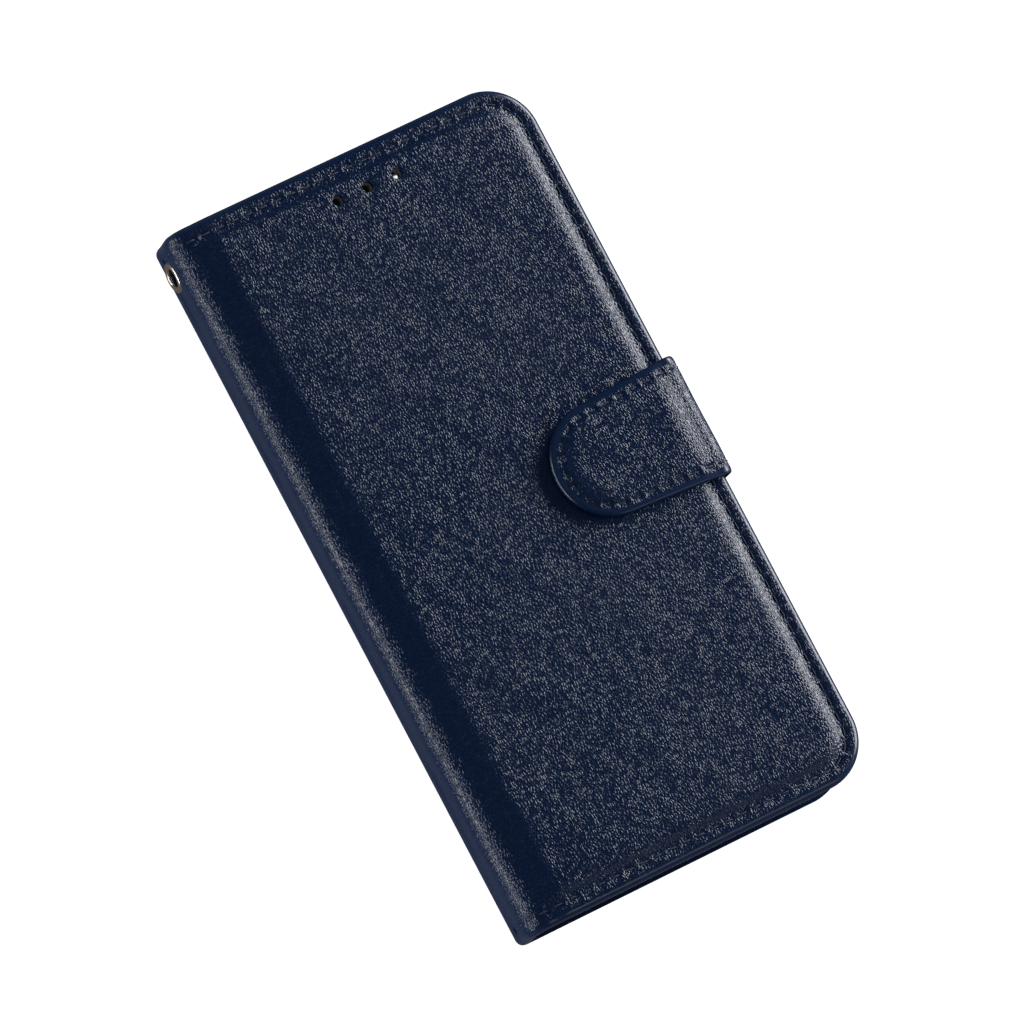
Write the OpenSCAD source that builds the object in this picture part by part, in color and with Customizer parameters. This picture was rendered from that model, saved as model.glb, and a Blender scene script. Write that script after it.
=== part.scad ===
// Folio case for a phone: padded front cover, soft spine, phone tray and magnetic strap.
// X runs from the spine to the opening edge, Y along the phone, Z from back cover to front cover.
// The origin is the middle of the closed case's underside.

/* [Case] */
// Length of the case, along the phone
case_l = 166; // [160:1:172]
// Width over the covers, without strap and eyelet
case_w = 85; // [84:1:88]
// Plan radius of the corners on the opening side
corner_r = 11.5; // [10:0.5:13]
// Outer radius of the two folds of the spine
fold_r = 5; // [4.6:0.1:5.2]

/* [Layers] */
// Thickness of the outer leather
skin_t = 0.8; // [0.7:0.05:0.9]
// Thickness of the inner lining
lining_t = 0.5; // [0.4:0.05:0.6]
// Thickness of the back cover's board
back_board_t = 1.2; // [1.2:0.1:1.5]
// Thickness of the front cover's board
front_board_t = 1.0; // [1:0.1:1.2]
// Thickness of the spine's board
spine_board_t = 0.6; // [0.5:0.05:0.7]
// Thickness of one pocket sheet
pocket_t = 0.35; // [0.3:0.05:0.4]
// How far the padded panel stands above the sewn edge
pad_rise = 1.2; // [0.9:0.1:1.5]

/* [Phone tray] */
// Length of the phone
phone_l = 159.6; // [154:0.2:159.6]
// Width of the phone
phone_w = 76; // [72:0.5:76]
// Thickness of the phone
phone_t = 8.2; // [7.8:0.1:8.6]
// Side wall of the tray
tray_wall = 1.4; // [1.2:0.1:1.5]
// Width of the camera window
camera_w = 32; // [28:1:34]
// Length of the camera window
camera_l = 36; // [30:1:38]

/* [Strap] */
// Width of the strap at the opening edge
strap_w = 28; // [26:0.5:30]
// Width of the tab where its round end begins
tab_end_w = 25.5; // [24:0.5:26]
// Reach of the tab, from the strap's outer face to its tip
tab_reach = 37; // [34:0.5:39]
// Thickness of the strap's wall
strap_t = 1.2; // [1.1:0.05:1.3]

/* [Fittings] */
// Bore radius of the eyelet
eyelet_bore_r = 2; // [1.8:0.1:2.2]
// Flange radius of the eyelet
eyelet_flange_r = 3.75; // [3.5:0.05:3.9]
// Distance from one stitch to the next
stitch_pitch = 3.5; // [3.2:0.1:4]
// Radius of the three round holes in the front cover
sound_hole_r = 1.15; // [1:0.05:1.3]

/* [Hidden] */
$fn = 64;

over = 1;                                  // how far a cutting solid runs past a face
eyelet_proud = 0.6;                        // the eyelet's flange outside the spine
strap_gap = 0.4;                           // between the cover's edge and the strap
strap_proud = strap_gap + strap_t;
spine_x = eyelet_proud - (eyelet_proud + case_w + strap_proud) / 2;
edge_x = spine_x + case_w;
cover_mid_x = (spine_x + edge_x) / 2;
half_l = case_l / 2;

// levels of the back cover and the tray
lining_back_z = skin_t + back_board_t;
tray_z = lining_back_z + lining_t;
tray_floor_t = 1;
bay_z = tray_z + tray_floor_t;
lip_z = bay_z + phone_t + 0.1;
lip_t = 1;
lip_w = 1.2;
tray_top = lip_z + lip_t;

// levels of the front cover
cover_gap = 0.3;
slots = 3;
pocket_z = tray_top + cover_gap;
cash_z = pocket_z + slots * pocket_t;
lining_z = cash_z + pocket_t;
board_z = lining_z + lining_t;
foam_z = board_z + front_board_t;
strip_z = foam_z + skin_t;
panel_z = strip_z + pad_rise;

// lines across the covers
fold_x = spine_x + fold_r;
board_x = fold_x + 3;
panel_x = spine_x + 9;
stitch_inset = 2.9;
panel_inset = 3.6;
fold_gap_a = 2;                            // half the angle left open at each fold line
spine_t = skin_t + spine_board_t + lining_t;
spine_step = 0.4;
spine_end = 0.6;                           // the spine's board and lining stop short of its ends

// tray
tray_w = phone_w + 2 * tray_wall;
tray_l = phone_l + 2 * tray_wall;
tray_x1 = edge_x - 2.1;
tray_x0 = tray_x1 - tray_w;
tray_corner_r = 9;
camera_r = 8;
camera_x = tray_x1 - 5 - camera_w / 2;
camera_y = half_l - 25;
port_size = [28, 5.8];
port_mid_z = bay_z + phone_t / 2;
key_size = [40, 4.6];
key_mid_y = 38;

// strap
bend_in_r = 0.4;
bend_out_r = bend_in_r + strap_t;
strap_lining_t = 0.5;
strap_in_x = edge_x + strap_gap;
bend_x = strap_in_x - bend_in_r;
bend_z = lining_back_z + bend_in_r;
root_l = 14;
slit = 0.15;                               // play of the strap's tail in the back cover
top_in_r = 1.8;
top_out_r = top_in_r + strap_t;
tab_gap = 0.25;
tab_z = panel_z + tab_gap;
top_x = strap_in_x - top_in_r;
top_z = tab_z - top_in_r;
tab_rim_t = 1.25;
tab_pad_t = 0.8;
tab_pad_inset = 3.6;
tab_stitch_inset = 2.5;
tab_tip_x = edge_x + strap_proud - tab_reach;
tab_mid_x = tab_tip_x + tab_end_w / 2;

// magnet and its plate
magnet_r = 6;
magnet_t = 0.9;
magnet_play = 0.1;
plate_t = 0.8;

// eyelet
eyelet_y = half_l - 7.6;
eyelet_z = 6.6;
barrel_r = eyelet_bore_r + 0.6;
washer_t = 0.5;
washer_r = 3;

// three holes
sound_hole_pitch = 7.2;
sound_hole_x = cover_mid_x + 1.1;
sound_hole_y = half_l - 9.1;

// thread
stitch_l = 2.5;
stitch_d = 0.5;
groove_w = 0.9;
groove_d = 0.55;
stitch_start_x = fold_x + 1;

// card slots
slot_half_l = 46;
slot_first_x = -24;
slot_step = 10;
slot_end_x = edge_x - 4;
cash_x = -31;
cash_inset = 1.4;

// ---- shapes in plan ----

// A cover's outline: square at the spine, rounded at the opening edge
module cover_outline(left_x, inset) {
  r = corner_r - inset;
  right_x = edge_x - inset;
  y = half_l - inset;
  translate([left_x, -y]) square([right_x - r - left_x, 2 * y]);
  translate([right_x - r, r - y]) square([r, 2 * (y - r)]);
  for (side = [-1, 1]) {
    translate([right_x - r, side * (y - r)]) circle(r);
  }
}

// The padded panel's outline, rounded at the opening edge
module panel_outline(inset) {
  cover_outline(panel_x + inset, panel_inset + inset);
}

// A rectangle with round corners, centred on x and y
module round_rect(x, y, size, r) {
  translate([x, y]) {
    square([size[0] - 2 * r, size[1]], center = true);
    square([size[0], size[1] - 2 * r], center = true);
    for (i = [-1, 1]) {
      for (j = [-1, 1]) {
        translate([i * (size[0] / 2 - r), j * (size[1] / 2 - r)]) circle(r);
      }
    }
  }
}

// The tab's outline: a taper from the fold to a round end
module tab_outline(inset) {
  r = tab_end_w / 2 - inset;
  fold_half = strap_w / 2 - inset;
  translate([tab_mid_x, 0]) circle(r);
  polygon([[top_x, -fold_half], [top_x, fold_half], [tab_mid_x, r], [tab_mid_x, -r]]);
}

// Three round holes, side by side near the top of the front cover
module sound_holes() {
  for (i = [-1, 0, 1]) {
    translate([sound_hole_x + i * sound_hole_pitch, sound_hole_y]) circle(sound_hole_r);
  }
}

module camera_hole() {
  round_rect(camera_x, camera_y, [camera_w, camera_l], camera_r);
}

// ---- shapes across a fold ----

// Part of a ring, from angle a0 to a1, drawn in X and Z
module ring_part(r_out, r_in, a0, a1) {
  reach = 2 * r_out;
  mid = (a0 + a1) / 2;
  intersection() {
    difference() {
      circle(r_out);
      circle(r_in);
    }
    polygon([
      [0, 0], [reach * cos(a0), reach * sin(a0)],
      [reach * cos(mid), reach * sin(mid)], [reach * cos(a1), reach * sin(a1)]
    ]);
  }
}

// Carries a section drawn in X and Z along Y
module along_y(length) {
  rotate([90, 0, 0]) linear_extrude(length, center = true) children();
}

// A box given by its two ends on each axis
module box(x0, x1, y0, y1, z0, z1) {
  translate([x0, y0, z0]) cube([x1 - x0, y1 - y0, z1 - z0]);
}

// A plate of an outline between two levels
module plate(z0, z1) {
  translate([0, 0, z0]) linear_extrude(z1 - z0) children();
}

// ---- rows of stitches ----

// Place and heading of a point at distance s along a line set in from the covers' three open edges
function sewn_line(s, inset) =
  let (
    r = corner_r - inset,
    x = edge_x - inset,
    y = half_l - inset,
    straight = x - r - stitch_start_x,
    bend = PI * r / 2,
    side = 2 * (y - r)
  )
  s < straight ? [stitch_start_x + s, y, 0]
  : s < straight + bend ?
    let (a = 90 - (s - straight) / r * 180 / PI)
    [x - r + r * cos(a), y - r + r * sin(a), a - 90]
  : s < straight + bend + side ? [x, y - r - (s - straight - bend), 90]
  : s < straight + 2 * bend + side ?
    let (a = -(s - straight - bend - side) / r * 180 / PI)
    [x - r + r * cos(a), r - y + r * sin(a), a - 90]
  : [x - r - (s - straight - 2 * bend - side), -y, 0];

function sewn_length(inset) =
  2 * (edge_x - corner_r - stitch_start_x) + PI * (corner_r - inset) + 2 * (half_l - corner_r);

// One stitch lying flat, heading along an angle
module stitch(x, y, z, heading) {
  translate([x, y, z])
    rotate([0, 0, heading])
      rotate([0, 90, 0])
        cylinder(h = stitch_l, d = stitch_d, center = true, $fn = 16);
}

module sewn_edge(z) {
  total = sewn_length(stitch_inset);
  count = floor(total / stitch_pitch);
  for (i = [0:count - 1]) {
    at = sewn_line((i + 0.5) * total / count, stitch_inset);
    stitch(at[0], at[1], z, at[2]);
  }
}

// ---- back cover ----

module back_cover_skin() {
  color([0.055, 0.085, 0.16]) {
    difference() {
      plate(0, tray_z) cover_outline(fold_x, 0);
      plate(skin_t, tray_z + over) cover_outline(fold_x - over, skin_t);
      // slit in the edge for the strap
      box(edge_x - 2 * skin_t, edge_x + over, -strap_w / 2 - slit, strap_w / 2 + slit,
          skin_t, tray_z + over);
      plate(-over, skin_t + over) camera_hole();
      // sunk line for the thread
      plate(-over, groove_d) difference() {
        cover_outline(stitch_start_x, stitch_inset - groove_w / 2);
        cover_outline(stitch_start_x - over, stitch_inset + groove_w / 2);
      }
    }
    translate([fold_x, 0, fold_r])
      along_y(case_l) ring_part(fold_r, fold_r - skin_t, 225 + fold_gap_a, 270);
  }
}

module back_board() {
  color([0.45, 0.42, 0.38])
    difference() {
      plate(skin_t, lining_back_z) cover_outline(board_x, skin_t);
      box(edge_x - root_l - slit, edge_x + over, -strap_w / 2 - slit, strap_w / 2 + slit,
          0, tray_z);
      plate(0, tray_z) camera_hole();
    }
}

module back_lining() {
  y = half_l - skin_t;
  color([0.07, 0.09, 0.14])
    difference() {
      union() {
        plate(lining_back_z, tray_z) cover_outline(board_x - lining_t, skin_t);
        box(board_x - lining_t, board_x, -y, y, skin_t, tray_z);
        box(fold_x, board_x, -y, y, skin_t, skin_t + lining_t);
        translate([fold_x, 0, fold_r])
          along_y(2 * y)
            ring_part(fold_r - skin_t, fold_r - skin_t - lining_t, 225 + fold_gap_a, 270);
      }
      plate(0, tray_z + over) camera_hole();
      box(edge_x - 2 * skin_t, edge_x + over, -strap_w / 2 - slit, strap_w / 2 + slit,
          lining_back_z - over, tray_z + over);
    }
}

module back_stitching() {
  color([0.09, 0.14, 0.27]) sewn_edge(groove_d - stitch_d / 2);
}

module phone_tray() {
  mid_x = (tray_x0 + tray_x1) / 2;
  bay_r = tray_corner_r - tray_wall;
  color([0.09, 0.09, 0.1])
    difference() {
      plate(tray_z, tray_top) round_rect(mid_x, 0, [tray_w, tray_l], tray_corner_r);
      plate(bay_z, lip_z) round_rect(mid_x, 0, [phone_w, phone_l], bay_r);
      plate(bay_z, tray_top + over)
        round_rect(mid_x, 0, [phone_w - 2 * lip_w, phone_l - 2 * lip_w], bay_r - lip_w);
      plate(tray_z - over, bay_z + over) camera_hole();
      box(mid_x - port_size[0] / 2, mid_x + port_size[0] / 2, -tray_l / 2 - over, -phone_l / 2 + over,
          port_mid_z - port_size[1] / 2, port_mid_z + port_size[1] / 2);
      box(tray_x1 - tray_wall - over, tray_x1 + over, key_mid_y - key_size[0] / 2,
          key_mid_y + key_size[0] / 2, port_mid_z - key_size[1] / 2, port_mid_z + key_size[1] / 2);
    }
}

module strap_root() {
  color([0.055, 0.085, 0.16]) {
    box(edge_x - root_l, bend_x, -strap_w / 2, strap_w / 2, skin_t, lining_back_z);
    translate([bend_x, 0, bend_z])
      along_y(strap_w) ring_part(bend_out_r, bend_in_r, 270, 315 - 2 * fold_gap_a);
  }
}

// ---- spine ----

// The spine's wall with the halves of its two folds, for a layer between two depths
module spine_folds(r_out, r_in) {
  translate([fold_x, fold_r]) ring_part(r_out, r_in, 180, 225 - fold_gap_a);
  translate([fold_x, strip_z - fold_r]) ring_part(r_out, r_in, 135 + fold_gap_a, 180);
}

module eyelet_hole() {
  translate([spine_x - over, eyelet_y, eyelet_z])
    rotate([0, 90, 0]) cylinder(h = spine_t + 2 * over, r = barrel_r);
}

module spine_skin() {
  color([0.055, 0.085, 0.16])
    difference() {
      along_y(case_l) {
        spine_folds(fold_r, fold_r - skin_t);
        translate([spine_x, fold_r]) square([skin_t, strip_z - 2 * fold_r]);
      }
      eyelet_hole();
    }
}

module spine_board() {
  x = spine_x + skin_t;
  y = half_l - spine_end;
  color([0.45, 0.42, 0.38])
    difference() {
      box(x, x + spine_board_t, -y, y, fold_r + spine_step, strip_z - fold_r - spine_step);
      eyelet_hole();
    }
}

module spine_lining() {
  outer_x = spine_x + skin_t;
  face_x = spine_x + spine_t - lining_t;
  color([0.07, 0.09, 0.14])
    difference() {
      along_y(case_l - 2 * spine_end) {
        spine_folds(fold_r - skin_t, fold_r - skin_t - lining_t);
        translate([face_x, fold_r]) square([lining_t, strip_z - 2 * fold_r]);
        for (z = [fold_r, strip_z - fold_r - spine_step]) {
          translate([outer_x, z]) square([spine_t - skin_t, spine_step]);
        }
      }
      eyelet_hole();
    }
}

// Two stitches across each end of the spine
module spine_stitching() {
  color([0.09, 0.14, 0.27])
    for (side = [-1, 1]) {
      for (k = [-0.5, 0.5]) {
        translate([spine_x - stitch_d / 2, side * (half_l - stitch_inset), strip_z / 2 + k * stitch_pitch])
          cylinder(h = stitch_l, d = stitch_d, center = true, $fn = 16);
      }
    }
}

module eyelet() {
  lip = 0.3;
  color([0.78, 0.7, 0.6])
    translate([spine_x - eyelet_proud, eyelet_y, eyelet_z])
      rotate([0, 90, 0])
        difference() {
          union() {
            cylinder(h = lip, r1 = eyelet_flange_r - 2 * lip, r2 = eyelet_flange_r);
            translate([0, 0, lip]) cylinder(h = eyelet_proud - lip, r = eyelet_flange_r);
            cylinder(h = eyelet_proud + spine_t + washer_t, r = barrel_r);
          }
          translate([0, 0, -over])
            cylinder(h = eyelet_proud + spine_t + washer_t + 2 * over, r = eyelet_bore_r);
        }
}

module eyelet_washer() {
  color([0.7, 0.64, 0.56])
    translate([spine_x + spine_t, eyelet_y, eyelet_z])
      rotate([0, 90, 0])
        difference() {
          cylinder(h = washer_t, r = washer_r);
          translate([0, 0, -over]) cylinder(h = washer_t + 2 * over, r = barrel_r);
        }
}

// ---- front cover ----

module front_cover_skin() {
  color([0.055, 0.085, 0.16]) {
    difference() {
      union() {
        plate(lining_z, strip_z) cover_outline(fold_x, 0);
        plate(strip_z - skin_t, panel_z) panel_outline(0);
      }
      plate(lining_z - over, foam_z) cover_outline(fold_x - over, skin_t);
      plate(foam_z - over, panel_z - skin_t) panel_outline(skin_t);
      plate(foam_z, panel_z + over) sound_holes();
    }
    translate([fold_x, 0, strip_z - fold_r])
      along_y(case_l) ring_part(fold_r, fold_r - skin_t, 90, 135 - fold_gap_a);
  }
}

module front_foam() {
  color([0.25, 0.25, 0.27])
    plate(foam_z, panel_z - skin_t) difference() {
      panel_outline(skin_t);
      sound_holes();
    }
}

module front_board() {
  color([0.45, 0.42, 0.38])
    difference() {
      plate(board_z, foam_z) cover_outline(board_x, skin_t);
      plate(board_z - over, foam_z + over) sound_holes();
      translate([tab_mid_x, 0, board_z - over])
        cylinder(h = front_board_t + 2 * over, r = magnet_r + magnet_play);
    }
}

module catch_plate() {
  color([0.6, 0.6, 0.62])
    translate([tab_mid_x, 0, foam_z - plate_t]) cylinder(h = plate_t, r = magnet_r);
}

module front_lining() {
  y = half_l - skin_t;
  color([0.07, 0.09, 0.14])
    difference() {
      union() {
        plate(lining_z, board_z) cover_outline(board_x - lining_t, skin_t);
        box(board_x - lining_t, board_x, -y, y, lining_z, foam_z);
        box(fold_x, board_x, -y, y, foam_z - lining_t, foam_z);
        translate([fold_x, 0, strip_z - fold_r])
          along_y(2 * y)
            ring_part(fold_r - skin_t, fold_r - skin_t - lining_t, 90, 135 - fold_gap_a);
      }
      plate(lining_z - over, board_z + over) sound_holes();
    }
}

module cash_pocket() {
  color([0.06, 0.09, 0.16])
    plate(cash_z, lining_z) difference() {
      cover_outline(cash_x, cash_inset);
      sound_holes();
    }
}

// A card slot's sheet: each one lies on the last and starts a step further from the spine
module card_slot(k) {
  x0 = slot_first_x + (k - 1) * slot_step;
  color([0.06, 0.09, 0.16])
    box(x0, slot_end_x, -slot_half_l, slot_half_l, cash_z - k * pocket_t, cash_z - (k - 1) * pocket_t);
}

module front_stitching() {
  color([0.09, 0.14, 0.27]) sewn_edge(strip_z + stitch_d / 2);
}

// Thread on the cash pocket, past both ends of the card slots
module pocket_stitching() {
  count = floor((slot_end_x - slot_first_x) / stitch_pitch);
  color([0.09, 0.14, 0.27])
    for (side = [-1, 1]) {
      for (i = [0:count - 1]) {
        stitch(slot_first_x + (i + 0.5) * stitch_pitch, side * (slot_half_l + 1.5),
               cash_z - stitch_d / 2, 0);
      }
    }
}

// ---- strap ----

// A layer of the strap's wall, between two depths below its outer face
module strap_wall(d_out, d_in) {
  outer_x = strap_in_x + strap_t;
  translate([outer_x - d_in, bend_z]) square([d_in - d_out, top_z - bend_z]);
  translate([bend_x, bend_z])
    ring_part(bend_out_r - d_out, bend_out_r - d_in, 315 + 2 * fold_gap_a, 360);
  translate([top_x, top_z])
    ring_part(top_out_r - d_out, top_out_r - d_in, 0, 45 - fold_gap_a);
}

// The same layer past the upper fold
module tab_fold(d_out, d_in) {
  translate([top_x, 0, top_z])
    along_y(strap_w) ring_part(top_out_r - d_out, top_out_r - d_in, 45 + fold_gap_a, 90);
}

module strap_side_leather() {
  color([0.055, 0.085, 0.16]) along_y(strap_w) strap_wall(0, strap_t - strap_lining_t);
}

module strap_side_lining() {
  color([0.07, 0.1, 0.18]) along_y(strap_w) strap_wall(strap_t - strap_lining_t, strap_t);
}

module strap_tab_leather() {
  low_z = tab_z + strap_lining_t;
  color([0.055, 0.085, 0.16]) {
    difference() {
      union() {
        plate(low_z, low_z + tab_rim_t) tab_outline(0);
        plate(low_z, low_z + tab_rim_t + tab_pad_t) tab_outline(tab_pad_inset);
      }
      translate([tab_mid_x, 0, low_z - over])
        cylinder(h = magnet_t + magnet_play + over, r = magnet_r + magnet_play);
    }
    tab_fold(0, strap_t - strap_lining_t);
  }
}

module strap_tab_lining() {
  color([0.07, 0.1, 0.18]) {
    plate(tab_z, tab_z + strap_lining_t) tab_outline(0);
    tab_fold(strap_t - strap_lining_t, strap_t);
  }
}

module tab_magnet() {
  color([0.6, 0.6, 0.62])
    translate([tab_mid_x, 0, tab_z + strap_lining_t]) cylinder(h = magnet_t, r = magnet_r);
}

// Thread round the tab: along both sides, then round its end
module tab_stitching() {
  z = tab_z + strap_lining_t + tab_rim_t + stitch_d / 2;
  r = tab_end_w / 2 - tab_stitch_inset;
  y0 = strap_w / 2 - tab_stitch_inset;
  run = top_x - tab_mid_x;
  lean = atan((y0 - r) / run);
  side_count = floor(run / stitch_pitch);
  end_count = round(PI * r / stitch_pitch);
  color([0.09, 0.14, 0.27]) {
    for (side = [-1, 1]) {
      for (i = [0:side_count - 1]) {
        part = (i + 0.5) / side_count;
        stitch(tab_mid_x + part * run, side * (r + part * (y0 - r)), z, side * lean);
      }
    }
    for (i = [0:end_count - 1]) {
      a = 90 + (i + 0.5) * 180 / end_count;
      stitch(tab_mid_x + r * cos(a), r * sin(a), z, a + 90);
    }
  }
}

back_cover_skin();
back_board();
back_lining();
back_stitching();
phone_tray();
strap_root();
spine_skin();
spine_board();
spine_lining();
spine_stitching();
eyelet();
eyelet_washer();
front_cover_skin();
front_foam();
front_board();
catch_plate();
front_lining();
cash_pocket();
card_slot(1);  // card_slot_1
card_slot(2);  // card_slot_2
card_slot(3);  // card_slot_3
front_stitching();
pocket_stitching();
strap_side_leather();
strap_side_lining();
strap_tab_leather();
strap_tab_lining();
tab_magnet();
tab_stitching();
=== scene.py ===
import bpy
import bmesh
import numpy as np
from mathutils import Matrix, Vector


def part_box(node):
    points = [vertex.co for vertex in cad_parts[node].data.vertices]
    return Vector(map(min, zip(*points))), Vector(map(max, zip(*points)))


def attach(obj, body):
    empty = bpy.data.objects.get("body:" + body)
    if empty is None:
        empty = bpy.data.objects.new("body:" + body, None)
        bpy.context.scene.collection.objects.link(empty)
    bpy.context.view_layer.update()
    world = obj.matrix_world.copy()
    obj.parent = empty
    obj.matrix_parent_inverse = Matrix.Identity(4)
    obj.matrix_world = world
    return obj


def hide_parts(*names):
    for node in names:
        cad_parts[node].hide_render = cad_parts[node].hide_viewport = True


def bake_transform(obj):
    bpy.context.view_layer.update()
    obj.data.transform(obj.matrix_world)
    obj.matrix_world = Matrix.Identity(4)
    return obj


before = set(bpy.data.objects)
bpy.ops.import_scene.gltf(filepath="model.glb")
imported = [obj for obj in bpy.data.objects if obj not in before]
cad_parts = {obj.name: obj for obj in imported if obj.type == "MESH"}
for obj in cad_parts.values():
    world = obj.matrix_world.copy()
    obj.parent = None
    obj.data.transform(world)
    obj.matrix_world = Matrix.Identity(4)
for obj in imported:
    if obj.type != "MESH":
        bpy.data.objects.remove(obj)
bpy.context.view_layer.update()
mm = 0.001

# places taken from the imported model
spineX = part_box("spine_skin")[0][0]
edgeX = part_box("front_cover_skin")[1][0]
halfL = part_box("front_cover_skin")[1][1]
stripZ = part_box("front_stitching")[0][2]
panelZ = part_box("front_cover_skin")[1][2]
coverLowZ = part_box("front_cover_skin")[0][2]
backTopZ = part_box("back_cover_skin")[1][2]
foldR = 5 * mm       # the folds beside the spine
print("frame loaded, case", round((edgeX - spineX) / mm, 1), "x", round(2 * halfL / mm, 1), "mm")


view = dict(
    elevation=69.7,      # degrees above the table
    azimuth=-162.8,      # where the camera stands, degrees from +X
    roll=46.01,
    distance=2.484,
    aim=-0.0005,         # the covers' middle
    lens=413.5,
    shift=(0.0071, 0.0063),
)


def placeCamera():
    el, az, roll = np.radians([view["elevation"], view["azimuth"], view["roll"]])
    back = Vector((np.cos(el) * np.cos(az), np.cos(el) * np.sin(az), np.sin(el)))
    upright = (Vector((0, 0, 1)) - back.z * back).normalized()
    level = upright.cross(back)
    right = np.cos(roll) * level + np.sin(roll) * upright
    up = back.cross(right)
    cam = bpy.data.objects.new("camera", bpy.data.cameras.new("camera"))
    bpy.context.collection.objects.link(cam)
    m = Matrix((right, up, back)).transposed().to_4x4()
    m.translation = back * view["distance"]
    m.translation.x += view["aim"]
    cam.matrix_world = m
    cam.data.lens = view["lens"]
    cam.data.sensor_width = 36
    cam.data.shift_x, cam.data.shift_y = view["shift"]
    cam.data.clip_end = 20
    bpy.context.scene.camera = cam


light = dict(
    key=dict(at=(0.93, 0.10, 0.33), away=1.0, size=(0.40, 1.1), power=16.5),     # the opening edge's side
    low=dict(at=(-0.995, 0.10, 0.045), away=1.0, size=(0.16, 1.2), power=7.0),   # skims the spine
    end=dict(at=(0.30, -0.80, 0.52), away=1.2, size=(0.5, 0.25), power=0.6),     # picks out the bottom edge
    top=dict(at=(-0.1, 0.0, 1.0), away=1.5, size=(1.0, 1.0), power=4.5),         # soft fill, no sheen of its own
    room=0.05,
    glow=0.10,           # what the leather's gloss sees of the table
)


def placeLight(name, at, away, size, power):
    data = bpy.data.lights.new(name, "AREA")
    data.shape = "RECTANGLE"
    data.size, data.size_y = size
    data.energy = power
    lamp = bpy.data.objects.new(name, data)
    bpy.context.collection.objects.link(lamp)
    back = Vector(at).normalized()
    along = Vector((0, 1, 0))                       # the long side lies along the case
    side = along.cross(back).normalized()
    m = Matrix((side, back.cross(side), back)).transposed().to_4x4()
    m.translation = back * away
    lamp.matrix_world = m
    lamp.visible_glossy = name != "top"


def placeFloor(name, z, glow, base):
    side = 6.0
    mesh = bpy.data.meshes.new(name)
    corners = [(-side, -side, z), (side, -side, z), (side, side, z), (-side, side, z)]
    mesh.from_pydata(corners, [], [(0, 1, 2, 3)])
    floor = bpy.data.objects.new(name, mesh)
    bpy.context.collection.objects.link(floor)
    mat = bpy.data.materials.new(name)
    mat.use_nodes = True
    s = mat.node_tree.nodes["Principled BSDF"]
    s.inputs["Base Color"].default_value = (base, base, base, 1)
    s.inputs["Roughness"].default_value = 0.9
    s.inputs["Specular IOR Level"].default_value = 0.1
    s.inputs["Emission Color"].default_value = (1, 1, 1, 1)
    s.inputs["Emission Strength"].default_value = glow
    mesh.materials.append(mat)
    floor.visible_shadow = False
    return floor


floor = placeFloor("floor", -0.0002, 1.0, 0.35)
floor.visible_glossy = False
sheen = placeFloor("floorSheen", -0.0004, light["glow"], 0.0)       # only the gloss sees this one
sheen.visible_camera = sheen.visible_diffuse = False
placeCamera()
for name in ("key", "low", "end", "top"):
    placeLight(name, **light[name])
world = bpy.data.worlds.new("room")
world.use_nodes = True
world.node_tree.nodes["Background"].inputs["Color"].default_value = (0.92, 0.96, 1.0, 1)
world.node_tree.nodes["Background"].inputs["Strength"].default_value = light["room"]
bpy.context.scene.world = world
bpy.context.scene.view_settings.view_transform = "Standard"
print("camera, floor and lights placed")


def newFinish(name):
    mat = bpy.data.materials.new(name)
    mat.use_nodes = True
    tree = mat.node_tree
    shader = tree.nodes["Principled BSDF"]
    place = tree.nodes.new("ShaderNodeTexCoord")
    return mat, tree, shader, place.outputs["Object"]


def node(tree, kind, links=(), **settings):
    # one shader node: links are (socket, source), settings are socket values or the node's own
    n = tree.nodes.new(kind)
    for key, value in settings.items():
        if hasattr(n, key):
            setattr(n, key, value)
        else:
            n.inputs[key.replace("_", " ")].default_value = value
    for socket, source in links:
        tree.links.new(source, n.inputs[socket])
    return n


def scaled(tree, source, a, b, low, high):
    # maps a..b of a value to low..high, smoothly
    n = node(tree, "ShaderNodeMapRange", [("Value", source)], interpolation_type="SMOOTHSTEP")
    for socket, value in zip(("From Min", "From Max", "To Min", "To Max"), (a, b, low, high)):
        n.inputs[socket].default_value = value
    return n.outputs["Result"]


def product(tree, a, b):
    n = node(tree, "ShaderNodeMath", operation="MULTIPLY")
    for i, source in enumerate((a, b)):
        if isinstance(source, (int, float)):
            n.inputs[i].default_value = source
        else:
            tree.links.new(source, n.inputs[i])
    return n.outputs[0]


def total(tree, a, b):
    n = node(tree, "ShaderNodeMath", operation="ADD")
    tree.links.new(a, n.inputs[0])
    tree.links.new(b, n.inputs[1])
    return n.outputs[0]


def mixed(tree, factor, colorA, colorB):
    n = node(tree, "ShaderNodeMix", data_type="RGBA")
    tree.links.new(factor, n.inputs["Factor"])
    n.inputs["A"].default_value = (*colorA, 1)
    n.inputs["B"].default_value = (*colorB, 1)
    return n.outputs["Result"]


pebble = dict(
    cells=1500,          # grain cells in a metre
    crease=0.26,         # the dark lines between cells, as a share of one
    # painted shade: this first colour is the darker one in the creases between cells, the next one that of the cell
    # tops
    creaseShade=(0.0016, 0.0098, 0.039),
    crown=(0.0030, 0.0165, 0.062),
    # painted highlight: the lighter colour laid on a band along the rounded lip
    paintedLipHighlight=(0.005, 0.018, 0.058),
    height=0.00007,
    roughness=(0.22, 0.28),
)


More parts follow.
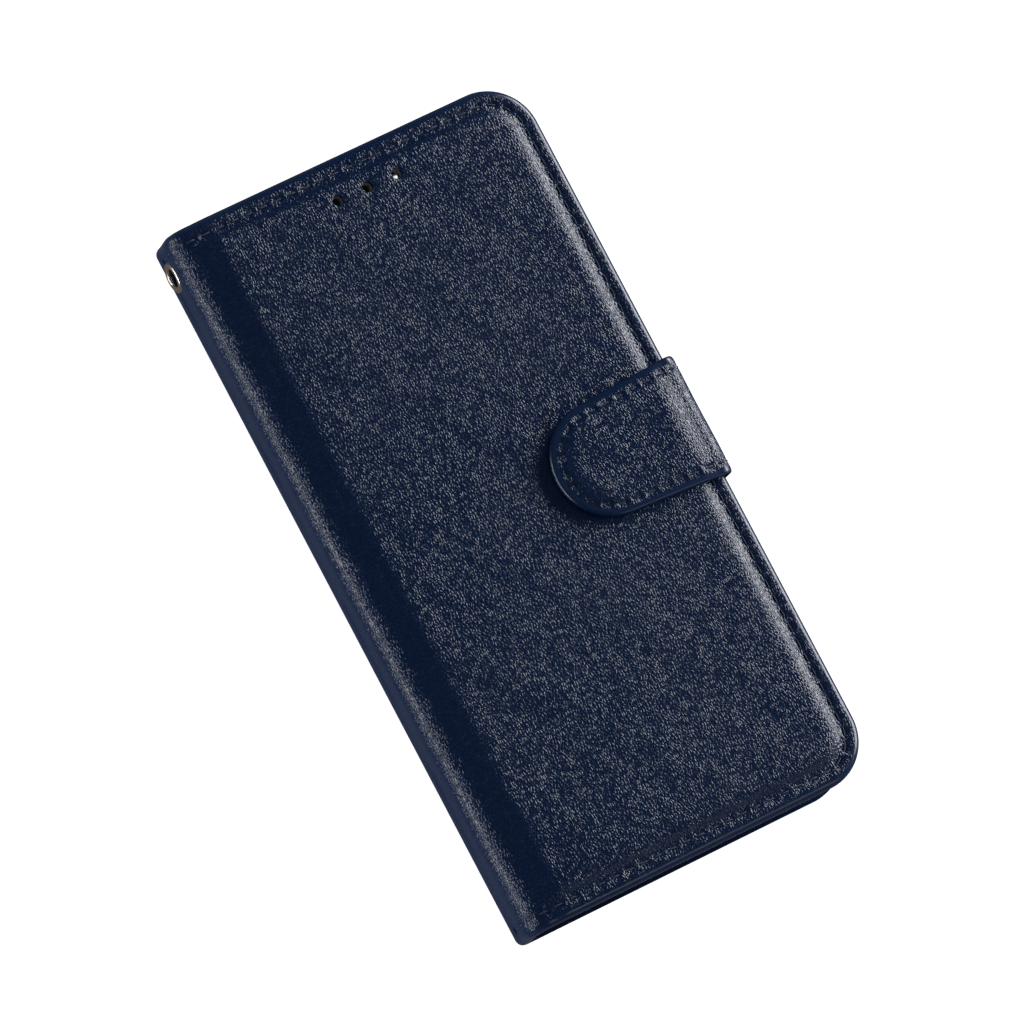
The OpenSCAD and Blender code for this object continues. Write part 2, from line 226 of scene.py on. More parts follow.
def pebbleLeather():
    # domed cells of two sizes; the "grain" attribute fades them out on the pressed edges
    mat, tree, shader, place = newFinish("pebbleLeather")
    warp = node(tree, "ShaderNodeTexNoise", [("Vector", place)], Scale=300.0, Detail=2.0)
    shift = node(tree, "ShaderNodeVectorMath", [(0, warp.outputs["Color"])], operation="SCALE")
    shift.inputs["Scale"].default_value = 0.0009
    moved = node(tree, "ShaderNodeVectorMath", [(0, place), (1, shift.outputs[0])], operation="ADD")
    laid = node(tree, "ShaderNodeMapping", [("Vector", moved.outputs[0])])
    laid.inputs["Rotation"].default_value = (0, 0, np.radians(25))
    laid.inputs["Scale"].default_value = (1.12, 0.86, 1)
    spot = laid.outputs["Vector"]
    edges = node(tree, "ShaderNodeTexVoronoi", [("Vector", spot)], feature="DISTANCE_TO_EDGE",
                 Scale=pebble["cells"])
    cells = node(tree, "ShaderNodeTexVoronoi", [("Vector", spot)], feature="F1", Scale=pebble["cells"])
    flatTop = scaled(tree, edges.outputs["Distance"], 0.0, pebble["crease"], 0.0, 1.0)
    dome = scaled(tree, cells.outputs["Distance"], 0.0, 0.75, 1.0, 0.0)
    both = total(tree, product(tree, flatTop, 0.6), product(tree, dome, 0.4))
    mask = node(tree, "ShaderNodeAttribute", attribute_name="grain")
    patch = node(tree, "ShaderNodeTexNoise", [("Vector", place)], Scale=26.0, Detail=3.0)
    grain = product(tree, both, mask.outputs["Fac"])
    hair = node(tree, "ShaderNodeTexNoise", [("Vector", place)], Scale=3000.0, Detail=2.0)
    relief = total(tree, grain, product(tree, hair.outputs["Fac"], 0.10))
    bump = node(tree, "ShaderNodeBump", [("Height", relief)])
    bump.inputs["Distance"].default_value = pebble["height"]
    bump.inputs["Strength"].default_value = 1.0
    tree.links.new(bump.outputs["Normal"], shader.inputs["Normal"])
    # painted shade: the grain is coloured darker in its creases and lighter on the domed cell tops, following the
    # relief
    tint = mixed(tree, scaled(tree, both, 0.2, 1.1, 0.0, 1.0), pebble["creaseShade"], pebble["crown"])
    # painted highlight: the rounded lip is coloured lighter in a patchy band, where the lamps catch it
    lipLit = node(tree, "ShaderNodeMix", data_type="RGBA")
    rim = node(tree, "ShaderNodeAttribute", attribute_name="lipHighlightBand")
    tree.links.new(product(tree, rim.outputs["Fac"], scaled(tree, patch.outputs["Fac"], 0.35, 0.7, 0.3, 1.0)),
                   lipLit.inputs["Factor"])
    tree.links.new(tint, lipLit.inputs["A"])
    lipLit.inputs["B"].default_value = (*pebble["paintedLipHighlight"], 1)
    tree.links.new(lipLit.outputs["Result"], shader.inputs["Base Color"])
    gloss = scaled(tree, patch.outputs["Fac"], 0.3, 0.7, *pebble["roughness"])
    tree.links.new(gloss, shader.inputs["Roughness"])
    shader.inputs["Specular IOR Level"].default_value = 0.5
    return mat


cloth = dict(color=(0.010, 0.016, 0.032), light=(0.018, 0.027, 0.05), threads=2400)


def liningCloth():
    # a matt microfibre with a soft noise
    mat, tree, shader, place = newFinish("liningCloth")
    fuzz = node(tree, "ShaderNodeTexNoise", [("Vector", place)], Scale=cloth["threads"], Detail=3.0)
    tree.links.new(mixed(tree, fuzz.outputs["Fac"], cloth["color"], cloth["light"]),
                   shader.inputs["Base Color"])
    bump = node(tree, "ShaderNodeBump", [("Height", fuzz.outputs["Fac"])])
    bump.inputs["Distance"].default_value = 0.00008
    tree.links.new(bump.outputs["Normal"], shader.inputs["Normal"])
    shader.inputs["Roughness"].default_value = 0.85
    shader.inputs["Sheen Weight"].default_value = 0.25
    return mat


def pocketLeather():
    # fine close grain
    mat, tree, shader, place = newFinish("pocketLeather")
    cells = node(tree, "ShaderNodeTexVoronoi", [("Vector", place)], feature="SMOOTH_F1", Scale=1700.0)
    patch = node(tree, "ShaderNodeTexNoise", [("Vector", place)], Scale=40.0, Detail=3.0)
    tree.links.new(mixed(tree, patch.outputs["Fac"], (0.007, 0.013, 0.031), (0.011, 0.019, 0.042)),
                   shader.inputs["Base Color"])
    raised = scaled(tree, cells.outputs["Distance"], 0.0, 0.6, 1.0, 0.0)
    bump = node(tree, "ShaderNodeBump", [("Height", raised)])
    bump.inputs["Distance"].default_value = 0.00006
    tree.links.new(bump.outputs["Normal"], shader.inputs["Normal"])
    tree.links.new(scaled(tree, patch.outputs["Fac"], 0.3, 0.7, 0.42, 0.55), shader.inputs["Roughness"])
    return mat


def sewingThread():
    mat, tree, shader, place = newFinish("sewingThread")
    twist = node(tree, "ShaderNodeTexWave", [("Vector", place)], Scale=1900.0, Distortion=1.5)
    twist.bands_direction = "DIAGONAL"
    tree.links.new(mixed(tree, twist.outputs["Fac"], (0.004, 0.011, 0.036), (0.010, 0.024, 0.072)),
                   shader.inputs["Base Color"])
    bump = node(tree, "ShaderNodeBump", [("Height", twist.outputs["Fac"])])
    bump.inputs["Distance"].default_value = 0.00006
    tree.links.new(bump.outputs["Normal"], shader.inputs["Normal"])
    shader.inputs["Roughness"].default_value = 0.65
    shader.inputs["Sheen Weight"].default_value = 0.1
    return mat


def mouldedPlastic():
    mat, tree, shader, place = newFinish("mouldedPlastic")
    spark = node(tree, "ShaderNodeTexNoise", [("Vector", place)], Scale=5200.0, Detail=2.0)
    patch = node(tree, "ShaderNodeTexNoise", [("Vector", place)], Scale=60.0, Detail=3.0)
    tree.links.new(mixed(tree, patch.outputs["Fac"], (0.010, 0.011, 0.013), (0.016, 0.017, 0.02)),
                   shader.inputs["Base Color"])
    bump = node(tree, "ShaderNodeBump", [("Height", spark.outputs["Fac"])])
    bump.inputs["Distance"].default_value = 0.00004
    tree.links.new(bump.outputs["Normal"], shader.inputs["Normal"])
    tree.links.new(scaled(tree, patch.outputs["Fac"], 0.3, 0.7, 0.38, 0.52), shader.inputs["Roughness"])
    return mat


def platedMetal(name, base, dull, rough):
    # plated metal: faint cloudy wear in tone and gloss
    mat, tree, shader, place = newFinish(name)
    cloud = node(tree, "ShaderNodeTexNoise", [("Vector", place)], Scale=700.0, Detail=4.0)
    tree.links.new(mixed(tree, scaled(tree, cloud.outputs["Fac"], 0.35, 0.75, 0.0, 1.0), base, dull),
                   shader.inputs["Base Color"])
    tree.links.new(scaled(tree, cloud.outputs["Fac"], 0.3, 0.7, *rough), shader.inputs["Roughness"])
    shader.inputs["Metallic"].default_value = 1.0
    return mat


def plainStock(name, dark, pale, grain, rough):
    # boards and foam: a speckled, matt stock
    mat, tree, shader, place = newFinish(name)
    speck = node(tree, "ShaderNodeTexNoise", [("Vector", place)], Scale=grain, Detail=4.0)
    tree.links.new(mixed(tree, speck.outputs["Fac"], dark, pale), shader.inputs["Base Color"])
    bump = node(tree, "ShaderNodeBump", [("Height", speck.outputs["Fac"])])
    bump.inputs["Distance"].default_value = 0.00008
    tree.links.new(bump.outputs["Normal"], shader.inputs["Normal"])
    shader.inputs["Roughness"].default_value = rough
    return mat


finish = dict(
    leather=pebbleLeather(),
    lining=liningCloth(),
    pocket=pocketLeather(),
    thread=sewingThread(),
    tray=mouldedPlastic(),
    eyelet=platedMetal("eyeletPlate", (0.86, 0.76, 0.66), (0.66, 0.56, 0.46), (0.16, 0.34)),
    steel=platedMetal("plainSteel", (0.55, 0.55, 0.57), (0.42, 0.42, 0.44), (0.3, 0.5)),
    board=plainStock("pressedBoard", (0.25, 0.22, 0.18), (0.38, 0.34, 0.28), 1800.0, 0.9),
    foam=plainStock("thinFoam", (0.07, 0.07, 0.08), (0.14, 0.14, 0.15), 2600.0, 0.95),
)
print("finishes ready:", len(finish))


def bezier(a, b, c, d, n=60):
    t = np.linspace(0, 1, n)[:, None]
    a, b, c, d = map(np.array, (a, b, c, d))
    return a * (1 - t) ** 3 + 3 * b * t * (1 - t) ** 2 + 3 * c * t ** 2 * (1 - t) + d * t ** 3


def bendArc(cx, cz, r, a0, a1, n=40):
    a = np.radians(np.linspace(a0, a1, n))
    return np.stack([cx + r * np.cos(a), cz + r * np.sin(a)], 1)


def makePath(parts, side):
    # a path in x and z by its own length, with the normal on the leather's outer side
    p = np.vstack(parts)
    keep = np.r_[True, np.linalg.norm(np.diff(p, axis=0), axis=1) > 1e-7]
    p = p[keep]
    s = np.r_[0, np.cumsum(np.linalg.norm(np.diff(p, axis=0), axis=1))]
    even = np.linspace(0, s[-1], 3000)
    x, z = np.interp(even, s, p[:, 0]), np.interp(even, s, p[:, 1])
    tx, tz = np.gradient(x), np.gradient(z)
    size = np.hypot(tx, tz)
    nx, nz = -side * tz / size, side * tx / size
    span = 41
    soft = np.ones(span) / span                               # eases the normals over the joins
    nx = np.convolve(np.pad(nx, span // 2, mode="edge"), soft, "valid")
    nz = np.convolve(np.pad(nz, span // 2, mode="edge"), soft, "valid")
    return dict(s=even, x=x, z=z, nx=nx, nz=nz, length=s[-1])


def onPath(path, s):
    return [np.interp(s, path["s"], path[k]) for k in ("x", "z", "nx", "nz")]


def smooth(v, a, b):
    t = np.clip((v - a) / (b - a), 0, 1)
    return t * t * (3 - 2 * t)


def rolledRim(p, lip):
    # p is the distance over the surface from the flat's true outline: a quarter circle of radius lip, then a
    # straight side. Gives the inset from the outline and the height.
    turn = np.clip((lip - p) / (np.pi / 2 * lip), 0, 1) * np.pi / 2
    inset = np.where(p < lip, lip * (1 - np.sin(turn)), p)
    return inset, -lip * (1 - np.cos(turn)) - np.maximum(lip - np.pi / 2 * lip - p, 0)


def rimLength(lip, depth):
    # how far the surface runs on past the outline
    return depth - lip + np.pi / 2 * lip - lip


def leafGrid(sLine, tLine, leaf, under=False):
    # bends the far corners of a square grid round radius r, so rings of equal inset stay parallel to the outline
    sEnd, halfW, r, lip, depth = (leaf[k] for k in ("sEnd", "halfW", "r", "lip", "depth"))
    s, t = np.meshgrid(sLine, tLine, indexing="ij")
    ps, pt = sEnd - s, halfW - np.abs(t)
    if leaf.get("open"):
        ps = np.full_like(s, 1.0)
    a, b = r - ps, r - pt
    corner = (a > 0) & (b > 0)
    big = np.maximum(np.maximum(a, b), 1e-12)
    small = np.maximum(np.minimum(a, b), 0)
    angle = np.where(a >= b, 45 * small / big, 90 - 45 * small / big) * np.pi / 180
    p = np.where(corner, r - big, np.minimum(ps, pt))
    if under:
        # the turned-in hem: in along the bottom, up the wall's inner side, then under the flat
        hem, skin = leaf["hem"], leaf["skin"]
        e0 = -rimLength(lip, depth)
        stops = np.linspace(e0, lip + 0.6 * mm, 6)
        ins = np.array([hem * 0.3, hem, hem * 1.02, hem * 1.1, max(hem * 1.4, lip * 0.9), lip + 0.6 * mm])
        hs = np.array([-depth, -depth, -(depth + skin) / 2, -skin * 1.05, -skin, -skin])
        inset, h = (np.where(p < stops[-1], np.interp(p, stops, v), w) for v, w in ((ins, p), (hs, -skin)))
        rim = lambda q: np.where(q < stops[-1], np.interp(q, stops, ins), q)
    else:
        inset, h = rolledRim(p, lip)
        rim = lambda q: rolledRim(q, lip)[0]
    sReal = s if leaf.get("open") else sEnd - rim(ps)
    sewn = leaf.get("sewn", sewing["inset"])
    bend = np.pi / 2 * (r - sewn)
    return dict(
        s=np.where(corner, sEnd - r + (r - inset) * np.cos(angle), sReal),
        t=np.sign(t) * np.where(corner, halfW - r + (r - inset) * np.sin(angle), halfW - rim(pt)),
        h=h, inset=inset,
        along=np.where(corner, halfW - r + angle * (r - sewn),
                       np.where(ps < pt, np.abs(t), halfW - r + bend + sEnd - r - s)),
    )


def spacedLine(a, b, step, fine, zones):
    # an even count of gaps from a to b: fine ones inside each (centre, half width) zone, wider ones elsewhere
    probes = 6000
    x = np.linspace(a, b, probes)
    near = np.max([1 - smooth(np.abs(x - c), w, w + 3 * mm) for c, w in zones], axis=0)
    count = np.r_[0, np.cumsum((b - a) / (probes - 1) / (step + (fine - step) * near[1:]))]
    n = 2 * int(round(count[-1] / 2))
    return np.interp(np.linspace(0, count[-1], n + 1), count, x)


def shape(path, grid, leaf, relief):
    # each grid point stands on the path at its length s, off by its height along the path's normal, and at t in y
    s, t = grid["s"], grid["t"]
    if "mouth" in leaf:
        s = s + leaf["mouth"] * (1 - (t / leaf["halfW"]) ** 2) * np.clip(1 - s / (12 * mm), 0, 1)
    x, z, nx, nz = onPath(path, s)
    thin = leaf["thin"](s) if "thin" in leaf else 1
    wide = leaf["wide"](s) if "wide" in leaf else 1
    h = grid["h"] * thin + relief
    return np.stack([x + nx * h, t * wide, z + nz * h], -1)


def quads(n, m, start):
    i = np.arange(n * m).reshape(n, m) + start
    return np.stack([i[:-1, :-1], i[1:, :-1], i[1:, 1:], i[:-1, 1:]], -1).reshape(-1, 4)


def newPiece(name, points, faces, mat, sharp=50):
    mesh = bpy.data.meshes.new(name)
    mesh.from_pydata(points.reshape(-1, 3).tolist(), [], faces)
    piece = bpy.data.objects.new(name, mesh)
    bpy.context.collection.objects.link(piece)
    fillIn(piece, mat, sharp)
    return piece


def border(n, m):
    i = np.arange(n * m).reshape(n, m)
    return np.concatenate([i[:-1, 0], i[-1, :-1], i[:0:-1, -1], i[0, :0:-1]])


def flat(grid, plain=False):
    return 0 * grid["s"]


def closedLeaf(name, path, leaf, mat, relief=flat, step=0.6 * mm, fine=0.35 * mm, zones=()):
    # the outer face, a coarser inner face, and five-sided faces that join two outer edges to one inner edge
    past = rimLength(leaf["lip"], leaf["depth"])
    farS, farT = leaf["sEnd"] + (0 if leaf.get("open") else past), leaf["halfW"] + past
    near = leaf.get("near", 5 * mm)
    sLine = spacedLine(0, farS, step, fine, [(farS, 0 if leaf.get("open") else near), *zones])
    tLine = spacedLine(-farT, farT, step, fine, [(-farT, near), (farT, near)])
    outer = leafGrid(sLine, tLine, leaf)
    inner = leafGrid(sLine[::2], tLine[::2], leaf, under=True)
    top = shape(path, outer, leaf, relief(outer))
    low = shape(path, inner, leaf, relief(inner, plain=True))
    n, m = top.shape[:2]
    k, l = low.shape[:2]
    a, b = border(n, m), border(k, l) + n * m
    a2, b2 = np.r_[a, a[0]], np.r_[b, b[0]]
    joins = np.stack([a2[0:-2:2], a2[1:-1:2], a2[2::2], b2[1:], b2[:-1]], -1)
    mesh = bpy.data.meshes.new(name)
    points = np.concatenate([top.reshape(-1, 3), low.reshape(-1, 3)])
    faces = quads(n, m, 0).tolist() + quads(k, l, n * m).tolist() + joins.tolist()
    mesh.from_pydata(points.tolist(), [], faces)
    piece = bpy.data.objects.new(name, mesh)
    bpy.context.collection.objects.link(piece)
    fillIn(piece, mat)
    inset = outer["inset"]
    pressed = leaf.get("pressed", (0.9 * mm, 1.8 * mm))
    paint(piece, "grain", np.r_[smooth(inset, *pressed).ravel(), np.zeros(k * l)])
    # painted highlight: a band on the rounded lip, 0.5 to 0.9 mm in from the outline, marked to be coloured lighter
    edge = smooth(inset, 0, 0.5 * mm) * (1 - smooth(inset, 0.9 * mm, 1.6 * mm))
    paint(piece, "lipHighlightBand", np.r_[edge.ravel(), np.zeros(k * l)])
    return piece


def fillIn(piece, mat, sharp=50):
    # faces outwards, smooth apart from real corners, and the finish
    bm = bmesh.new()
    bm.from_mesh(piece.data)
    bmesh.ops.recalc_face_normals(bm, faces=bm.faces)
    bm.to_mesh(piece.data)
    bm.free()
    piece.data.shade_smooth()
    piece.data.set_sharp_from_angle(angle=np.radians(sharp))
    piece.data.materials.clear()
    piece.data.materials.append(mat)


def paint(piece, name, values):
    layer = piece.data.attributes.get(name) or piece.data.attributes.new(name, "FLOAT", "POINT")
    layer.data.foreach_set("value", np.asarray(values, float))


def cutHoles(piece, cutters):
    # takes each closed cutter out of the piece and keeps the result as plain mesh
    for cutter in cutters:
        mod = piece.modifiers.new("cut", "BOOLEAN")
        mod.operation = "DIFFERENCE"
        mod.solver = "EXACT"
        mod.object = cutter
    applyModifiers(piece)
    for cutter in cutters:
        bpy.data.objects.remove(cutter)


def applyModifiers(piece):
    done = bpy.data.meshes.new_from_object(piece.evaluated_get(bpy.context.evaluated_depsgraph_get()))
    piece.modifiers.clear()
    old = piece.data
    piece.data = done
    done.name = old.name
    bpy.data.meshes.remove(old)


def rod(name, centre, axis, r, length, sides=48):
    # a closed cylinder about a point, used as a cutter
    a = np.linspace(0, 2 * np.pi, sides, endpoint=False)
    ring = np.stack([r * np.cos(a), r * np.sin(a)], 1)
    ends = []
    for h in (-length / 2, length / 2):
        p = np.zeros((sides, 3))
        p[:, [k for k in range(3) if k != axis]] = ring
        p[:, axis] = h
        ends.append(p + np.array(centre))
    i = np.arange(sides)
    j = (i + 1) % sides
    mesh = bpy.data.meshes.new(name)
    walls = np.stack([i, j, j + sides, i + sides], 1).tolist()
    mesh.from_pydata(np.vstack(ends).tolist(), [], walls + [i[::-1].tolist(), (i + sides).tolist()])
    bm = bmesh.new()
    bm.from_mesh(mesh)
    bmesh.ops.recalc_face_normals(bm, faces=bm.faces)
    bm.to_mesh(mesh)
    bm.free()
    piece = bpy.data.objects.new(name, mesh)
    bpy.context.collection.objects.link(piece)
    return piece


sewing = dict(
    inset=3.4 * mm,      # the thread's line, in from the edge
    pitch=3.5 * mm,
    length=2.3 * mm,     # thread showing between two needle holes
    radius=0.19 * mm,
    dent=0.25 * mm,      # how deep the thread pulls the leather in
    groove=0.10 * mm,
)


def stitchPulse(along, pitch):
    # 1 along a stitch, 0 between two of them
    gap = np.abs(along / pitch - np.round(along / pitch))
    return 1 - smooth(gap, 0.24, 0.40)


def sewnRelief(grid, inset):
    # leather pinched under each stitch and swelling a little between them
    off = grid["inset"] - inset
    pulse = stitchPulse(grid["along"], sewing["pitch"])
    line = np.exp(-(off / (0.42 * mm)) ** 2)
    wide = np.exp(-(off / (0.6 * mm)) ** 2)
    return -sewing["groove"] * line - sewing["dent"] * pulse * wide + 0.04 * mm * (1 - pulse) * wide


def sewnMarks(leaf, start=0.6 * mm):
    # s and t along every stitch of a leaf: the line runs from the middle of the far end round both corners
    sEnd, halfW, r, inset = leaf["sEnd"], leaf["halfW"], leaf["r"], leaf.get("sewn", sewing["inset"])
    q = r - inset
    straight, bend = halfW - r, np.pi / 2 * q
    last = int((straight + bend + sEnd - r - start - sewing["length"] / 2) / sewing["pitch"])
    k = np.arange(-last, last + 1)
    u = np.linspace(-1, 1, 7)
    a = k[:, None] * sewing["pitch"] + u * sewing["length"] / 2
    side, a = np.sign(a), np.abs(a)
    turn = np.clip((a - straight) / q, 0, np.pi / 2)
    s = sEnd - r + q * np.cos(turn) - np.maximum(a - straight - bend, 0)
    return s, side * (np.minimum(a, straight) + q * np.sin(turn)), u


def threadRow(name, path, marks, mat, lift=0, wide=None):
    # short tubes: each follows the leather, arched in the middle and dipping in at both ends
    s, t, u = marks
    h = lift + sewing["radius"] * (0.75 - 1.6 * u ** 4) + 0 * s
    x, z, nx, nz = onPath(path, s)
    y = t if wide is None else t * wide(s)
    line = np.stack([x + nx * h, y, z + nz * h], -1)
    up = np.stack([nx, np.zeros_like(nx), nz], -1)
    run = np.gradient(line, axis=1)
    run /= np.linalg.norm(run, axis=-1, keepdims=True)
    across = np.cross(run, up)
    across /= np.linalg.norm(across, axis=-1, keepdims=True)
    up = np.cross(across, run)
    a = np.linspace(0, 2 * np.pi, 6, endpoint=False)
    r = sewing["radius"] * (1 - 0.35 * u ** 4)[None, :, None, None]
    tube = line[:, :, None] + r * (np.cos(a)[:, None] * across[:, :, None] + np.sin(a)[:, None] * up[:, :, None])
    n, rings, sides = tube.shape[:3]
    start = (np.arange(n)[:, None, None] * rings + np.arange(rings - 1)[None, :, None]) * sides
    i = start + np.arange(sides)
    j = start + (np.arange(sides) + 1) % sides
    walls = np.stack([i, j, j + sides, i + sides], -1).reshape(-1, 4).tolist()
    first = np.arange(n)[:, None] * rings * sides + np.arange(sides)
    caps = first[:, ::-1].tolist() + (first + (rings - 1) * sides).tolist()
    return newPiece(name, tube, walls + caps, mat, sharp=180)


foldX = spineX + foldR
cover = dict(
    corner=11.5 * mm,
    proud=0.05 * mm,     # the lip's roundness past the board
    rise=1.2 * mm,       # the padded panel above the sewn strip
    panelFrom=4.3 * mm,
    panelOver=4.1 * mm,
    slope=(spineX + 1.5 * mm, spineX + 9 * mm),   # where the panel rises behind the spine
    lowR=3 * mm,         # the fold under the spine, a little tighter
    bulge=0.45 * mm,     # how far the spine's upper half swells out
    sink=0.5 * mm,       # how far the ridge lies below the sewn strip
    sewFrom=10 * mm,     # the back's sewing starts this far along its leather
    holes=dict(r=1.15 * mm, pitch=7.2 * mm, y=halfL - 9.1 * mm, x=(spineX + edgeX) / 2 + 1.1 * mm),
)
coverL = edgeX - foldX
holeX = [cover["holes"]["x"] + k * cover["holes"]["pitch"] for k in (-1, 0, 1)]
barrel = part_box("eyelet")
eyeletY, eyeletZ = (barrel[0][1] + barrel[1][1]) / 2, (barrel[0][2] + barrel[1][2]) / 2
eyeletHoleR = 2.6 * mm


def soundHoles(z, r, length):
    # cutters for the three holes through the front cover
    return [rod("hole", (x, cover["holes"]["y"], z), 2, r, length) for x in holeX]


def eyeletHole(x, length):
    return rod("hole", (x, eyeletY, eyeletZ), 0, eyeletHoleR, length)


bulge, sink = cover["bulge"], cover["sink"]
ridgeX, ridgeZ = foldX - bulge, stripZ - foldR - sink
frontPath = makePath([bezier((spineX, foldR), (spineX, foldR + 2.4 * mm),
                             (spineX - bulge, ridgeZ - 2.4 * mm), (spineX - bulge, ridgeZ)),
                      bendArc(ridgeX, ridgeZ, foldR, 180, 90, 200),
                      bezier((ridgeX, stripZ - sink), (ridgeX + 2 * mm, stripZ - sink),
                             (ridgeX + 2.6 * mm, stripZ), (ridgeX + 5 * mm, stripZ)),
                      [(edgeX + cover["proud"], stripZ)]], side=1)
foldS = frontPath["length"] - coverL - cover["proud"]             # where the cover starts along the path
frontLeaf = dict(sEnd=frontPath["length"], halfW=halfL, r=cover["corner"], lip=1.7 * mm,
                 depth=stripZ - coverLowZ, skin=0.8 * mm, hem=0.8 * mm, near=9 * mm)


def unevenness(s, t):
    # slow soft hills a few centimetres long
    return 0.045 * mm * (np.sin(s * 210 + 1.3) * np.sin(t * 160 + 0.4) + 0.6 * np.sin(s * 420 + t * 330))


def frontRelief(grid, plain=False):
    # the panel swells up inside the sewn line, quickly at the stitches and slowly behind the spine
    s, t, inset = grid["s"], grid["t"], grid["inset"]
    up = 1 - (1 - np.clip((inset - cover["panelFrom"]) / cover["panelOver"], 0, 1)) ** 2.4
    up = up * smooth(inset, cover["panelFrom"] - 0.1 * mm, cover["panelFrom"] + 1.1 * mm)
    x = onPath(frontPath, s)[0]
    pad = cover["rise"] * up * smooth(x, *cover["slope"])
    if plain:
        return pad
    for hx in holeX:
        d = np.hypot(x - hx, t - cover["holes"]["y"])
        pad = pad - 0.16 * mm * (1 - smooth(d, cover["holes"]["r"], 2.1 * mm))
    inner = smooth(inset, 5 * mm, 9 * mm)
    return pad + sewnRelief(grid, sewing["inset"]) + unevenness(s, t) * inner


frontLeather = closedLeaf("frontLeather", frontPath, frontLeaf, finish["leather"], frontRelief,
                          step=0.66 * mm, fine=0.42 * mm, zones=[(foldS / 2, foldS / 2)])
cutHoles(frontLeather, soundHoles(panelZ, cover["holes"]["r"], 8 * mm) + [eyeletHole(spineX, 6 * mm)])
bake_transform(frontLeather)
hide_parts("front_cover_skin", "spine_skin")
print("front leather:", len(frontLeather.data.polygons), "faces")

frontThread = threadRow("frontThread", frontPath, sewnMarks(frontLeaf), finish["thread"], lift=-0.3 * mm)
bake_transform(frontThread)
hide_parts("front_stitching", "spine_stitching")

lowR = cover["lowR"]
backPath = makePath([[(spineX, foldR), (spineX, lowR)], bendArc(spineX + lowR, lowR, lowR, 180, 270, 120),
                     [(edgeX, 0)]], side=-1)
backLeaf = dict(sEnd=backPath["length"], halfW=halfL, r=cover["corner"], lip=1.7 * mm, depth=backTopZ,
                skin=0.8 * mm, hem=0.8 * mm, near=7 * mm)
cameraWindow = dict(x=18.9 * mm, y=58 * mm, size=(32 * mm, 36 * mm), r=8 * mm, border=2.4 * mm)


def windowDistance(x, y):
    # how far outside the rounded camera window a point is, less than 0 inside it
    r = cameraWindow["r"]
    dx = np.abs(x - cameraWindow["x"]) - cameraWindow["size"][0] / 2 + r
    dy = np.abs(y - cameraWindow["y"]) - cameraWindow["size"][1] / 2 + r
    return np.hypot(np.maximum(dx, 0), np.maximum(dy, 0)) + np.minimum(np.maximum(dx, dy), 0) - r


def backRelief(grid, plain=False):
    if plain:
        return flat(grid)
    s, t = grid["s"], grid["t"]
    d = windowDistance(s - backPath["length"] + edgeX, t)
    lower = -0.3 * mm * (1 - smooth(d, cameraWindow["border"] - 0.5 * mm, cameraWindow["border"] + 0.3 * mm))
    off = grid["inset"] - sewing["inset"]
    channel = -0.45 * mm * np.exp(-(off / (0.6 * mm)) ** 4)
    onFlat = smooth(s, cover["sewFrom"] - 2 * mm, cover["sewFrom"])             # no sewing on the fold itself
    return lower + (channel + 0.5 * sewnRelief(grid, sewing["inset"])) * onFlat


def roundedBlock(name, cx, cy, size, r, z0, z1, sides=16):
    # a closed block with round corners, used as a cutter
    a = np.linspace(0, np.pi / 2, sides)
    corner = [(cx + sx * (size[0] / 2 - r), cy + sy * (size[1] / 2 - r), q)
              for sx, sy, q in ((1, 1, 0), (-1, 1, 1), (-1, -1, 2), (1, -1, 3))]
    ring = np.vstack([np.stack([x + r * np.cos(a + q * np.pi / 2), y + r * np.sin(a + q * np.pi / 2)], 1)
                      for x, y, q in corner])
    n = len(ring)
    points = np.vstack([np.c_[ring, np.full(n, z0)], np.c_[ring, np.full(n, z1)]])
    i = np.arange(n)
    j = (i + 1) % n
    faces = np.stack([i, j, j + n, i + n], 1).tolist() + [i[::-1].tolist(), (i + n).tolist()]
    return newPiece(name, points, faces, finish["leather"])


def windowCutter():
    w = cameraWindow
    return roundedBlock("window", w["x"], w["y"], w["size"], w["r"], -3 * mm, 9 * mm)


backLeather = closedLeaf("backLeather", backPath, backLeaf, finish["leather"], backRelief,
                         step=0.75 * mm, fine=0.42 * mm, zones=[(4 * mm, 4 * mm)])
cutHoles(backLeather, [windowCutter()])
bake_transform(backLeather)
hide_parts("back_cover_skin")

backThread = threadRow("backThread", backPath, sewnMarks(backLeaf, start=cover["sewFrom"]), finish["thread"],
                       lift=-0.62 * mm)
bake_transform(backThread)
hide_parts("back_stitching")
print("back leather:", len(backLeather.data.polygons), "faces")


strap = dict(
    half=14 * mm,        # half width at the opening edge
    endR=12.75 * mm,     # the tab's round end
    tip=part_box("strap_tab_leather")[0][0],
    outerX=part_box("strap_side_leather")[1][0],
    innerX=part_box("strap_side_lining")[0][0],
    seamZ=9 * mm,        # where the lower and upper halves meet on the side
    low=dict(x=42.0 * mm, z=2.4 * mm, r=1.6 * mm),
    top=dict(x=40.6 * mm, z=16.45 * mm, r=3.0 * mm),
    faceZ=19.95 * mm,    # the tab's smooth rim
    pad=0.85 * mm,
    padFrom=1.5 * mm,
    sewn=2.5 * mm,
)
low, top = strap["low"], strap["top"]
lowStrapPath = makePath([[(28 * mm, low["z"] - low["r"]), (low["x"], low["z"] - low["r"])],
                         bendArc(low["x"], low["z"], low["r"], 270, 360),
                         [(strap["outerX"], strap["seamZ"])]], side=-1)
lowStrapLeaf = dict(sEnd=lowStrapPath["length"], halfW=strap["half"], r=1 * mm, lip=0.3 * mm, depth=0.7 * mm,
                    skin=0.7 * mm, hem=0.3 * mm, open=True, near=2 * mm)
lowStrapIn = makePath([[(28 * mm, 2 * mm), (low["x"], 2 * mm)],
                       bendArc(low["x"], low["z"], 0.4 * mm, 270, 360),
                       [(strap["innerX"], strap["seamZ"])]], side=1)
